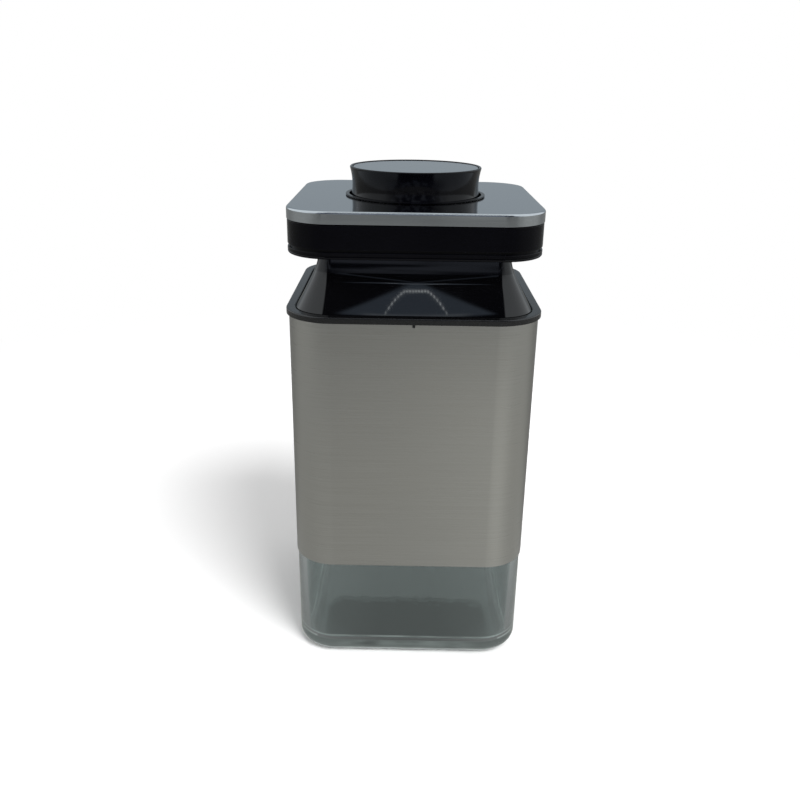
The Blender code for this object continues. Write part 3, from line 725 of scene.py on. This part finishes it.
def add_tab(mesh, underside):
    """The collar's small tab that fills the notch at the top of the sleeve's front."""
    outer = reach_of("steel_sleeve") - NOTCH_PLAY
    inner = outer - SLEEVE_SHEET
    bottom = top_of("steel_sleeve") - NOTCH_DEPTH + NOTCH_PLAY
    top = underside + SEAT_GAP
    width = NOTCH_WIDTH - 2 * NOTCH_PLAY
    bm = bmesh.new()
    bm.from_mesh(mesh)
    cube = bmesh.ops.create_cube(bm, size=1.0)["verts"]
    bmesh.ops.scale(bm, vec=(width, outer - inner, top - bottom), verts=cube)
    bmesh.ops.translate(bm, vec=(0.0, -(outer + inner) / 2, (top + bottom) / 2), verts=cube)
    bm.to_mesh(mesh)
    bm.free()


def gasket_lean():
    """Angle in degrees by which the gasket's skirt leans out from upright."""
    return math.degrees(math.atan((reach_of("plug_gasket") - reach_of("plug_wall")) / GASKET_RISE))


def neck_joint_lean():
    """Lean in degrees of the neck's hollow where the plug wall meets the gasket."""
    above = NECK_HOLLOW_RADIUS * math.sin(math.radians(gasket_lean())) - NECK_HOLLOW_DROP
    return math.degrees(math.asin(above / NECK_HOLLOW_RADIUS))


def neck_hollow(joint_height, start_lean, end_lean):
    """Hollow sweep between the gasket's leaning skirt and the upright plug wall."""
    lean = math.radians(gasket_lean())
    radius = NECK_HOLLOW_RADIUS
    low_out = reach_of("plug_wall") + NECK_HOLLOW_DROP * math.tan(lean)
    centre_out = low_out + radius * math.cos(lean)
    centre_up = joint_height - NECK_HOLLOW_DROP + radius * math.sin(lean)
    return arc(centre_out, centre_up, radius, 180 + start_lean, 180 + end_lean, HOLLOW_STEPS)


def make_plug_wall(material):
    reach = reach_of("plug_wall")
    seat = reach - PLUG_STEP
    inner = seat - PLUG_WALL
    shoulder = top_of("plug_gasket") + SEAT_GAP
    bottom = bottom_of("plug_wall")
    top = top_of("plug_wall")
    profile = [(inner, bottom), (seat, bottom), (seat, shoulder)]
    profile += neck_hollow(top_of("plug_gasket"), neck_joint_lean(), 0)
    profile += [(profile[-1][0], top), (inner, top)]
    mesh = square_mesh("plug", profile, True)
    flatten(new_piece("plug_moulding", mesh, "lid", material, "plug_wall"))


def make_gasket(material):
    """A cuff on the plug's seat, with a skirt that flares from its top down to the mouth."""
    reach = reach_of("plug_gasket")
    bottom = bottom_of("plug_gasket")
    top = top_of("plug_gasket")
    crest = reach_of("plug_wall")
    cuff = crest - PLUG_STEP + GASKET_CUFF_GAP
    edge_top = top - GASKET_RISE
    slope = (reach - crest) / GASKET_RISE
    skin_across = GASKET_SKIN * math.hypot(1, slope)
    fork = top - skin_across / slope
    edge = GASKET_EDGE_RADIUS
    profile = [(cuff, top)]
    profile += neck_hollow(top, neck_joint_lean(), gasket_lean())
    profile += [(reach, edge_top)]
    profile += arc(reach - edge, bottom + edge, edge, 0, -90)
    profile += [(reach - skin_across, bottom), (reach - skin_across, edge_top), (crest, fork)]
    profile += [(crest, bottom_of("plug_wall")), (cuff, bottom_of("plug_wall"))]
    mesh = square_mesh("gasket", profile, True, FINE_SHARP_DEGREES)
    flatten(new_piece("gasket_skirt", mesh, "lid", material, "plug_gasket"))


def make_steel_cap(material):
    reach = reach_of("lid_steel_cap")
    bottom = bottom_of("lid_steel_cap")
    top = top_of("lid_steel_cap")
    centre = reach - CAP_EDGE_RADIUS
    bend = top - CAP_EDGE_RADIUS
    inner = reach - CAP_SHEET
    profile = arc(centre, bend, CAP_EDGE_RADIUS, 90, 0)
    profile += [(reach, bottom), (inner, bottom)]
    profile += arc(centre, bend, CAP_EDGE_RADIUS - CAP_SHEET, 0, 90)
    mesh = square_mesh("cap", profile, False)
    cap = new_piece("steel_cap", mesh, "lid", material, "lid_steel_cap")
    cut(cap, hole_cutter(top, top))
    flatten(soften(cap, CAP_BURR_RADIUS))


def top_of_lip():
    return bottom_of("lid_lip_ring") + LIP_HEIGHT


def make_lid_shell(material):
    reach = reach_of("lid_shell")
    under_cap = reach_of("lid_steel_cap") - CAP_SHEET - STEP_FIT
    bottom = top_of_lip() + GROOVE_HEIGHT
    top = top_of("lid_shell")
    step = bottom_of("lid_steel_cap") - SEAT_GAP
    ceiling = top - CEILING_THICKNESS
    inner = reach - SKIRT_WALL
    rebate = inner + LIP_TONGUE_THICKNESS + SEAT_GAP
    rebate_top = top_of("lid_lip_ring") + SEAT_GAP
    edge = SKIRT_EDGE_RADIUS
    fillet = CEILING_FILLET
    profile = arc(under_cap - edge, top - edge, edge, 90, 0)
    profile += [(under_cap, step)]
    profile += arc(reach - edge, step - edge, edge, 90, 0)
    profile += arc(reach - edge, bottom + edge, edge, 0, -90)
    profile += [(rebate, bottom), (rebate, rebate_top), (inner, rebate_top)]
    profile += arc(inner - fillet, ceiling - fillet, fillet, 0, 90)
    mesh = square_mesh("shell", profile, False)
    shell = new_piece("shell_moulding", mesh, "lid", material, "lid_shell")
    cut(shell, hole_cutter(ceiling, top))
    for x in (-BOSS_PLACE, BOSS_PLACE):
        for y in (-BOSS_PLACE, BOSS_PLACE):
            make_boss(x, y, ceiling, material)
    flatten(shell)


def make_boss(x, y, ceiling, material):
    """A long screw boss that hangs from the lid's ceiling into the plug."""
    bottom = bottom_of("lid_shell")
    profile = [(BOSS_BORE_RADIUS, ceiling), (BOSS_BORE_RADIUS, bottom)]
    profile += [(BOSS_RADIUS, bottom), (BOSS_RADIUS, ceiling)]
    mesh = turned_mesh("boss", profile, True)
    for vert in mesh.vertices:
        vert.co += Vector((x, y, 0.0))
    side = ("back" if y > 0.0 else "front") + ("_right" if x > 0.0 else "_left")
    flatten(new_piece("screw_boss_" + side, mesh, "lid", material, "lid_shell"))


def make_lip_ring(material):
    reach = reach_of("lid_lip_ring")
    bottom = bottom_of("lid_lip_ring")
    top = top_of("lid_lip_ring")
    inner = reach - SKIRT_WALL
    tongue = inner + LIP_TONGUE_THICKNESS
    lip_top = top_of_lip()
    edge = SKIRT_EDGE_RADIUS
    chamfer = LIP_INNER_CHAMFER
    profile = [(inner, bottom + chamfer), (inner + chamfer, bottom)]
    profile += arc(reach - LIP_EDGE_RADIUS, bottom + LIP_EDGE_RADIUS, LIP_EDGE_RADIUS, -90, 0)
    groove = reach - LIP_CHAMFER_DEPTH
    groove_bottom = bottom + LIP_EDGE_RADIUS + LIP_CHAMFER_HEIGHT
    groove_top = groove_bottom + LIP_GROOVE
    profile += [(groove, groove_bottom), (groove, groove_top), (reach, groove_top)]
    profile += arc(reach - edge, lip_top - edge, edge, 0, 90)
    profile += [(tongue, lip_top), (tongue, top), (inner, top)]
    mesh = square_mesh("lip", profile, True, FINE_SHARP_DEGREES)
    flatten(new_piece("lip_moulding", mesh, "lid", material, "lid_lip_ring"))


def waisted_radius(height, rise, base):
    """The knob's radius at a height, narrowest at its waist."""
    top_radius = reach_of("knob_disc") + DISC_SET_IN
    if height > KNOB_WAIST_HEIGHT:
        share = (height - KNOB_WAIST_HEIGHT) / (rise - KNOB_WAIST_HEIGHT)
        return KNOB_WAIST_RADIUS + (top_radius - KNOB_WAIST_RADIUS) * share ** 2
    share = (KNOB_WAIST_HEIGHT - height) / (KNOB_WAIST_HEIGHT - base)
    return KNOB_WAIST_RADIUS + (KNOB_BASE_RADIUS - KNOB_WAIST_RADIUS) * share ** 2


def make_knob(material):
    lid_top = top_of("lid_steel_cap")
    rise = top_of("knob_body") - lid_top
    flange_bottom = bottom_of("knob_body") - lid_top
    flange_top = flange_bottom + KNOB_FLANGE_THICKNESS
    recess = bottom_of("knob_disc") - lid_top - SEAT_GAP
    underside = recess - KNOB_PLATE_THICKNESS
    recess_radius = reach_of("knob_disc") + SEAT_GAP
    rim = KNOB_RIM_RADIUS
    side_top = rise - rim
    profile = [(0.0, recess), (recess_radius, recess)]
    profile += arc(recess_radius + rim, side_top, rim, 180, 90)
    profile += arc(waisted_radius(side_top, rise, flange_top) - rim, side_top, rim, 90, 0)
    for step in range(1, KNOB_SIDE_STEPS + 1):
        height = side_top + (flange_top - side_top) * step / KNOB_SIDE_STEPS
        profile.append((waisted_radius(height, rise, flange_top), height))
    flange = reach_of("knob_body")
    profile += [(flange, flange_top), (flange, flange_bottom)]
    profile.append((KNOB_BASE_RADIUS - KNOB_WALL, flange_bottom))
    for step in range(KNOB_SIDE_STEPS + 1):
        height = flange_top + (underside - flange_top) * step / KNOB_SIDE_STEPS
        profile.append((waisted_radius(height, rise, flange_top) - KNOB_WALL, height))
    profile.append((0.0, underside))
    mesh = turned_mesh("knob", profile, False, lid_top)
    flatten(new_piece("knob_moulding", mesh, "knob", material, "knob_body"))


def make_knob_disc(material):
    radius = reach_of("knob_disc")
    top = top_of("knob_disc")
    bottom = bottom_of("knob_disc")
    edge = DISC_EDGE_RADIUS
    profile = [(0.0, top)] + arc(radius - edge, top - edge, edge, 90, 0)
    profile += [(radius, bottom), (0.0, bottom)]
    mesh = turned_mesh("disc", profile, False)
    flatten(new_piece("knob_inlay", mesh, "knob", material, "knob_disc"))


def make_bezel(material):
    radius = reach_of("bezel_ring")
    top = top_of("bezel_ring")
    bottom = bottom_of("bezel_ring")
    flange_under = top_of("lid_steel_cap") + SEAT_GAP
    bore = BEZEL_BORE_RADIUS
    body = radius - BEZEL_BODY_SET_IN
    edge = BEZEL_EDGE_RADIUS
    profile = arc(bore + edge, top - edge, edge, 180, 90)
    profile += arc(radius - edge, top - edge, edge, 90, 0)
    profile += [(radius, flange_under), (body, flange_under), (body, bottom), (bore, bottom)]
    mesh = turned_mesh("bezel", profile, True)
    flatten(new_piece("bezel_moulding", mesh, "lid", material, "bezel_ring"))


def make_spring(material):
    """The wound spring, which rides on the knob's body."""
    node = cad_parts["knob_spring"]
    mesh = node.data.copy()
    mesh.transform(node.matrix_world)
    mesh.materials.clear()
    spring = new_piece("spring_wire", mesh, "knob", material, "knob_spring")
    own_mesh(spring)


def repaint(node, material):
    """Give a CAD node that stays its finished material."""
    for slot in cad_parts[node].material_slots:
        slot.material = material


def make_floor():
    bm = bmesh.new()
    bmesh.ops.create_grid(bm, x_segments=2, y_segments=2, size=FLOOR_SIZE)
    mesh = bpy.data.meshes.new("floor")
    bm.to_mesh(mesh)
    bm.free()
    floor = bpy.data.objects.new("floor", mesh)
    floor.location = (0.0, 0.0, -FLOOR_DROP)
    bpy.context.scene.collection.objects.link(floor)
    mesh.materials.append(floor_material())


def mix_shaders(nodes, share, first, second):
    mix = nodes.add("ShaderNodeMixShader")
    nodes.link(share, mix.inputs["Fac"])
    nodes.link(first, mix.inputs[1])
    nodes.link(second, mix.inputs[2])
    return mix.outputs["Shader"]


def floor_material():
    """Pale table: it keeps the canister's shadow close by and runs into white further off. Through glass
    and in reflections it glows with painted light instead.
    """
    material = bpy.data.materials.new("pale_floor")
    material.use_nodes = True
    tree = material.node_tree
    nodes = Nodes(tree)
    shader = tree.nodes["Principled BSDF"]
    shader.inputs["Base Color"].default_value = FLOOR_COLOUR
    shader.inputs["Roughness"].default_value = FLOOR_ROUGHNESS_SHARE
    shader.inputs["Specular IOR Level"].default_value = 0.0
    path = nodes.add("ShaderNodeLightPath")
    passing = path.outputs["Is Transmission Ray"]
    place = nodes.add("ShaderNodeTexCoord").outputs["Object"]
    length = nodes.add("ShaderNodeVectorMath", operation="LENGTH")
    nodes.link(place, length.inputs[0])
    away = length.outputs["Value"]
    glow = nodes.add("ShaderNodeEmission")
    # Painted glow for rays through glass, in place of the lit table
    behind = floor_behind_glass(nodes, place, away)
    nodes.link(between_values(nodes, 1.0, behind, passing), glow.inputs["Strength"])
    far = nodes.product(nodes.smooth(away, *WHITE_FLOOR_SPAN), path.outputs["Is Camera Ray"])
    glowing = nodes.math("MAXIMUM", far, passing)
    lit = mix_shaders(nodes, glowing, shader.outputs["BSDF"], glow.outputs["Emission"])
    # Painted reflection: the table glows for rays that a surface mirrors
    mirrored = nodes.add("ShaderNodeEmission")
    nodes.link(mirrored_floor(nodes, place, away), mirrored.inputs["Strength"])
    mirrored.inputs["Color"].default_value = MIRRORED_FLOOR_COLOUR
    surface = mix_shaders(nodes, mirrored_share(nodes, path), lit, mirrored.outputs["Emission"])
    nodes.link(surface, tree.nodes["Material Output"].inputs["Surface"])
    return material


def floor_behind_glass(nodes, place, away):
    """Strength of the table's painted glow through the glass: painted shade under the jar, brighter
    behind it and to the sides.
    """
    aside = nodes.absolute(nodes.parts(place)[0])
    behind = nodes.math("ADD", nodes.span(away, *UNDER_JAR_SPAN), nodes.span(away, *BEHIND_JAR_SPAN))
    return nodes.product(behind, nodes.span(aside, *BESIDE_JAR_SPAN))


def mirrored_share(nodes, path):
    """1 for a ray that a surface mirrors, 0 for one that glass lets through."""
    passing = nodes.math("SUBTRACT", 1.0, path.outputs["Is Transmission Ray"])
    return nodes.product(path.outputs["Is Glossy Ray"], passing)


def mirrored_floor(nodes, place, away):
    """Strength of the table's painted reflection, a glow seen only in reflections: a lit table with the
    dark room before it, a darker dip, and darker to the left and brighter to the right near the jar.
    """
    x, y = nodes.parts(place)[:2]
    aside = nodes.math("DIVIDE", x, away)
    ahead = nodes.math("DIVIDE", y, away)
    dip = nodes.smooth(nodes.distance(aside, DIP_ASIDE), *DIP_SPAN)
    dip = nodes.product(dip, nodes.span(away, *DIP_START_SPAN))
    lean = nodes.product(nodes.span(x, *LEFT_LEAN_SPAN), nodes.span(x, *RIGHT_LEAN_SPAN))
    lean = between_values(nodes, lean, 1.0, nodes.span(away, *LEAN_END_SPAN))
    front = nodes.span(away, *FRONT_FLOOR_SPAN)
    front = nodes.product(front, nodes.math("SUBTRACT", 1.0, dip), lean)
    beyond = nodes.span(clutter(nodes, place, FAR_CLUTTER_SCALE), *FAR_CLUTTER_SPAN)
    front = between_values(nodes, front, beyond, nodes.smooth(away, *FLOOR_END_SPAN))
    side = nodes.product(nodes.span(away, *SIDE_FLOOR_SPAN), nodes.span(aside, *SIDE_LEAN_SPAN))
    sideways = nodes.smooth(nodes.absolute(aside), *SIDEWAYS_SPAN)
    around = between_values(nodes, front, side, sideways)
    return between_values(nodes, around, BACK_FLOOR_SHARE, nodes.smooth(ahead, *BACKWARDS_SPAN))


def clutter(nodes, place, scale):
    """Uneven patches, as furniture and windows give in a mirror."""
    noise = nodes.add("ShaderNodeTexNoise")
    noise.inputs["Scale"].default_value = scale
    noise.inputs["Detail"].default_value = CLUTTER_DETAIL
    nodes.link(place, noise.inputs["Vector"])
    return noise.outputs["Fac"]


def between_values(nodes, first, second, share):
    """A number, or a socket of one, that goes from the first to the second."""
    rest = nodes.math("SUBTRACT", 1.0, share)
    return nodes.math("ADD", nodes.product(first, rest), nodes.product(second, share))


def make_world():
    """White to the eye, dimmer through glass, and in reflections a room with a dark front."""
    world = bpy.data.worlds.new("studio")
    bpy.context.scene.world = world
    world.use_nodes = True
    nodes = Nodes(world.node_tree)
    background = world.node_tree.nodes["Background"]
    place = nodes.add("ShaderNodeTexCoord").outputs["Generated"]
    path = nodes.add("ShaderNodeLightPath")
    lit = nodes.span(path.outputs["Is Camera Ray"], 0.0, 1.0, AMBIENT_SHARE, 1.0)
    lit = between_values(nodes, lit, THROUGH_GLASS_SHARE, path.outputs["Is Transmission Ray"])
    share = mirrored_share(nodes, path)
    nodes.link(between_values(nodes, lit, 1.0, share), background.inputs["Strength"])
    colour = nodes.blend(share, (1.0, 1.0, 1.0), mirrored_room(nodes, place))
    nodes.link(colour, background.inputs["Color"])


def mirrored_room(nodes, place):
    """Colours in reflections by direction: white sides, a cool grey back and a dark front."""
    x, y, z = nodes.parts(place)
    level = nodes.math("ADD", nodes.product(x, x), nodes.product(y, y))
    level = nodes.math("MAXIMUM", nodes.math("SQRT", level), LEAST_LEVEL_SHARE)
    ahead = nodes.math("DIVIDE", y, level)
    aside = nodes.distance(nodes.math("DIVIDE", x, level), TENT_ASIDE)
    rise = nodes.math("DIVIDE", z, level)
    soft_share = nodes.smooth(ahead, *FRONT_SOFT_SPAN)
    sharp_share = nodes.smooth(ahead, *FRONT_SHARP_SPAN)
    sharpening = nodes.span(rise, *FRONT_SHARPENING_SPAN)
    front_share = between_values(nodes, soft_share, sharp_share, sharpening)
    back_share = nodes.product(nodes.smooth(ahead, *BACK_SPAN), nodes.span(rise, *BACK_FADE_SPAN))
    rest = nodes.blend(back_share, SIDE_COLOUR, BACK_COLOUR)
    return nodes.blend(front_share, rest, dark_front(nodes, place, aside, rise))


def dark_front(nodes, place, aside, rise):
    """The room's front: patches low down, a hood with its hem, the tent, lamps and a strip high up."""
    patches = nodes.smooth(clutter(nodes, place, PATCH_SCALE), *PATCH_SPAN)
    bend = nodes.span(rise, *HOOD_BEND_SPAN)
    hood = nodes.math("ADD", rise, nodes.product(aside, HOOD_SLOPE, bend))
    hem = nodes.smooth(nodes.distance(hood, HEM_RISE), *HEM_SPAN)
    front = nodes.blend(patches, *PATCH_COLOURS)
    front = nodes.blend(nodes.span(hood, *HOOD_FADE_SPAN), front, DARK_COLOUR)
    front = nodes.blend(hem, front, HEM_COLOUR)
    front = nodes.blend(tent_share(nodes, aside, rise), front, TENT_COLOUR)
    spots = nodes.smooth(clutter(nodes, place, STRIP_SPOT_SCALE), *STRIP_SPOT_SPAN)
    bottom = nodes.smooth(rise, *STRIP_BOTTOM_SPAN)
    strip_share = nodes.product(bottom, nodes.smooth(rise, *STRIP_TOP_SPAN))
    front = nodes.blend(strip_share, front, nodes.blend(spots, *STRIP_COLOURS))
    return nodes.blend(lamp_share(nodes, aside, rise), front, LAMP_COLOUR)


def tent_share(nodes, aside, rise):
    """The tent: under its two slopes and above its sill."""
    slopes = nodes.math("SUBTRACT", TENT_TOP, nodes.product(aside, TENT_SLOPE))
    under = nodes.smooth(nodes.math("SUBTRACT", slopes, rise), *TENT_EDGE_SPAN)
    return nodes.product(under, nodes.span(rise, TENT_SILL, TENT_SILL + TENT_SILL_BLUR, 0.0, 1.0))


def lamp_share(nodes, aside, rise):
    """A row of small lamps along an arch in the tent, and the faint strip along the tent's sill."""
    arch = nodes.math("SUBTRACT", ARCH_TOP, nodes.product(aside, aside, ARCH_BEND))
    arch = nodes.math("MINIMUM", arch, ARCH_CROWN)
    on_arch = nodes.smooth(nodes.distance(rise, arch), *ARCH_LINE_SPAN)
    wave = nodes.math("COSINE", nodes.product(aside, 2 * math.pi / LAMP_SPACING))
    row = nodes.product(on_arch, nodes.smooth(wave, *LAMP_WAVE_SPAN))
    row = nodes.product(row, nodes.span(aside, *ARCH_FOOT_SPAN))
    off_sill = nodes.distance(rise, TENT_SILL + SILL_STRIP_RISE)
    sill = nodes.smooth(off_sill, *SILL_STRIP_SPAN)
    sill = nodes.product(sill, nodes.smooth(aside, *SILL_STRIP_END_SPAN))
    return nodes.math("MAXIMUM", row, sill)


def make_lamps():
    light = bpy.data.lights.new("key", "SUN")
    light.energy = KEY_STRENGTH
    light.angle = math.radians(KEY_SPREAD)
    key = bpy.data.objects.new("key", light)
    key.rotation_euler = Vector(KEY_DIRECTION).to_track_quat("Z", "Y").to_euler()
    key.visible_glossy = False
    bpy.context.scene.collection.objects.link(key)


def make_camera():
    data = bpy.data.cameras.new("camera")
    data.sensor_width = CAMERA_SENSOR_WIDTH
    data.lens = CAMERA_LENS
    data.clip_start = CAMERA_NEAREST
    data.clip_end = CAMERA_FARTHEST
    camera = bpy.data.objects.new("camera", data)
    turn = Matrix.Rotation(math.radians(CAMERA_TURN), 4, "Z")
    tilt = Matrix.Rotation(math.radians(90 - CAMERA_DOWN), 4, "X")
    roll = Matrix.Rotation(math.radians(CAMERA_ROLL), 4, "Z")
    camera.matrix_world = Matrix.Translation(CAMERA_PLACE) @ turn @ tilt @ roll
    bpy.context.scene.collection.objects.link(camera)
    bpy.context.scene.camera = camera


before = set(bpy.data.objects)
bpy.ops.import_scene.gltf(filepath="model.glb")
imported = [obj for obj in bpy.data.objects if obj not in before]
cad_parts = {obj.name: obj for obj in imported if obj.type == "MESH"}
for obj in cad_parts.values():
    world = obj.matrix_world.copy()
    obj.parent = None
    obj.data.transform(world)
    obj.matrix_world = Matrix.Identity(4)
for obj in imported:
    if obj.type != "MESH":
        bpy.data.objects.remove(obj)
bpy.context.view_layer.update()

polished = polished_steel()
gloss = gloss_black("gloss_black", shine_share=0.11)
satin = satin_black()
bright = bright_steel()

make_glass_jar(clear_glass())
make_sleeve(brushed_steel())
make_collar(collar_black())
make_plug_wall(gloss_black("plug_black", shine_share=0.35))
make_gasket(gasket_black())
make_steel_cap(polished)
make_lid_shell(gloss)
make_lip_ring(gloss_black("lip_black", shine_share=0.16))
make_bezel(gloss)
make_knob(gloss_black("bright_gloss_black", shine_share=0.20))
make_knob_disc(polished)
for node in ("plug_cover", "knob_well", "latch_housing", "knob_stem"):
    repaint(node, satin)
repaint("rim_seal", silicone())
for node in ("plug_screw_1", "plug_screw_2", "plug_screw_3", "plug_screw_4", "latch_pin"):
    repaint(node, bright)
make_spring(bright)

make_floor()
make_world()
make_lamps()
make_camera()
bpy.context.scene.view_settings.view_transform = "Standard"
